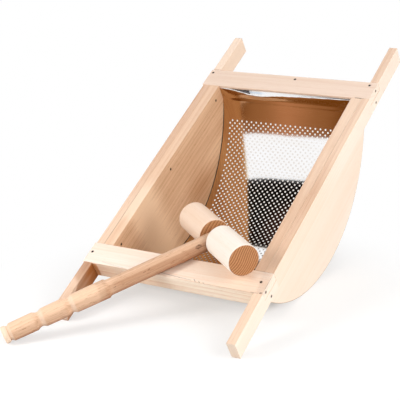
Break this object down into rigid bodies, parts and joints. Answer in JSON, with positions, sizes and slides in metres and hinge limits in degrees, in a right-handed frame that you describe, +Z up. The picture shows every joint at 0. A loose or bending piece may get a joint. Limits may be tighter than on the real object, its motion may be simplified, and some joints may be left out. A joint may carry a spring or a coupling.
{
  "type": "tomato strainer with roller masher",
  "caption": "Wooden frame with long rail handles carrying a round-bottomed perforated steel trough, and a loose turned wooden masher with a split roller head.",
  "frame": {"origin": "on the floor, under the middle of the whole object as it stands", "axes": "+Z up from the floor, +Y along the rails' heading towards the raised back end, +X to the right when seen from the lowered front end"},
  "size_m": [0.2681, 0.5326, 0.2361],
  "materials": {
    "frame_wood": "planed softwood, unfinished",
    "crossbar_wood": "planed softwood, unfinished",
    "turned_wood": "turned and sanded, unfinished",
    "sheet_steel": "bright perforated sheet",
    "nail_steel": "dull steel"
  },
  "bodies": {
    "frame": {"left_rail": "frame_wood", "right_rail": "frame_wood", "left_side_panel": "frame_wood", "right_side_panel": "frame_wood", "front_crossbar": "crossbar_wood", "back_crossbar": "crossbar_wood", "strainer_sheet": "sheet_steel", "left_panel_nails": "nail_steel", "right_panel_nails": "nail_steel", "front_top_nails": "nail_steel", "back_top_nails": "nail_steel", "back_centre_nail": "nail_steel", "front_left_side_nails": "nail_steel", "front_right_side_nails": "nail_steel", "back_left_side_nails": "nail_steel", "back_right_side_nails": "nail_steel", "left_sheet_tacks": "nail_steel", "right_sheet_tacks": "nail_steel"},
    "masher": {"masher_handle": "turned_wood"},
    "roller_set": {"roller_axle": "turned_wood", "left_roller": "turned_wood", "right_roller": "turned_wood"}
  },
  "joints": [
    {"name": "masher_lift", "type": "slide", "parent": "frame", "child": "masher", "axis": [0, 0, 1], "range_m": [0, 0.25]},
    {"name": "roller_spin", "type": "hinge", "parent": "masher", "child": "roller_set", "pos_m": [0.04967, -0.0768, 0.08596], "axis": [0.8086, -0.5872, -0.0369], "continuous": true}
  ]
}
